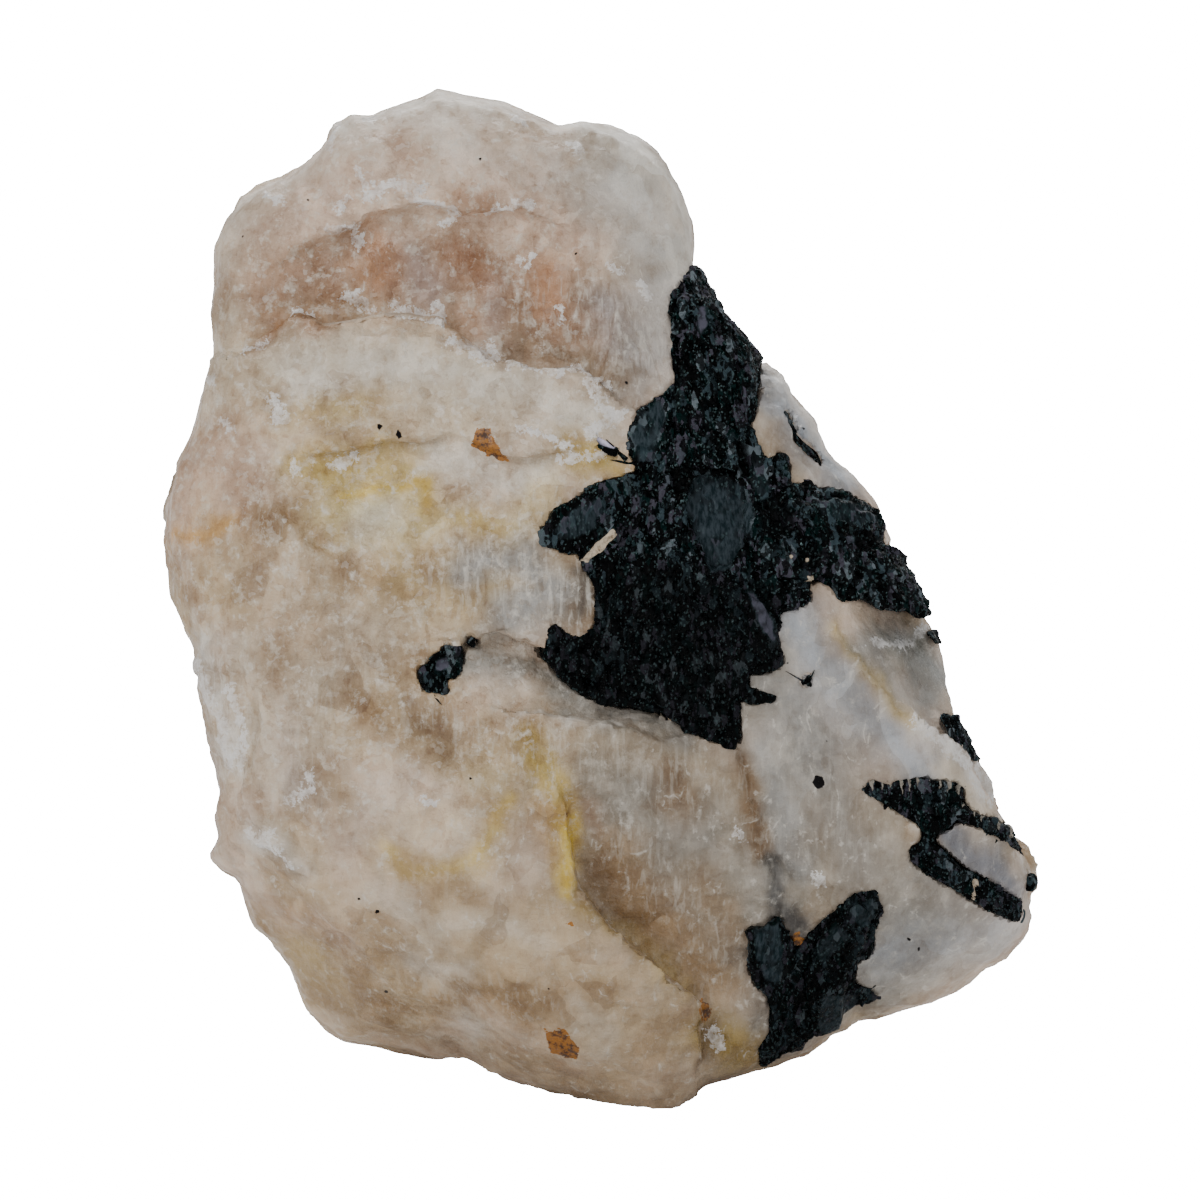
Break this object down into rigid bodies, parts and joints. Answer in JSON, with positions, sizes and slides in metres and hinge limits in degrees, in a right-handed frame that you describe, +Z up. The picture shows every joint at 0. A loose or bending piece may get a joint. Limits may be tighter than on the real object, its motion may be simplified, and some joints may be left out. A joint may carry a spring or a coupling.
{
  "type": "rose quartz with black tourmaline",
  "caption": "Rough hand specimen of milky rose quartz grown through with black tourmaline crystals, leaning back a little on a small flat spot.",
  "frame": {"origin": "on the floor, under the middle of the stone's bounding box", "axes": "+X to the right of the face with the tourmaline, +Y from that face to the back, +Z up"},
  "size_m": [0.0876, 0.044, 0.1003],
  "materials": {
    "rose_quartz": "milky pale pink quartz, rough broken faces with glassy chips",
    "black_tourmaline": "black, granular and striated, with smooth glinting faces"
  },
  "bodies": {
    "root": {"rose_quartz": "rose_quartz", "tourmaline_main": "black_tourmaline", "tourmaline_foot": "black_tourmaline", "tourmaline_spray": "black_tourmaline", "tourmaline_left_patch": "black_tourmaline", "tourmaline_blade": "black_tourmaline", "tourmaline_left_chip": "black_tourmaline", "tourmaline_lower_chip": "black_tourmaline", "tourmaline_edge_chip": "black_tourmaline", "tourmaline_edge_sliver": "black_tourmaline", "tourmaline_tip_sliver": "black_tourmaline", "tourmaline_needles": "black_tourmaline"}
  },
  "joints": []
}
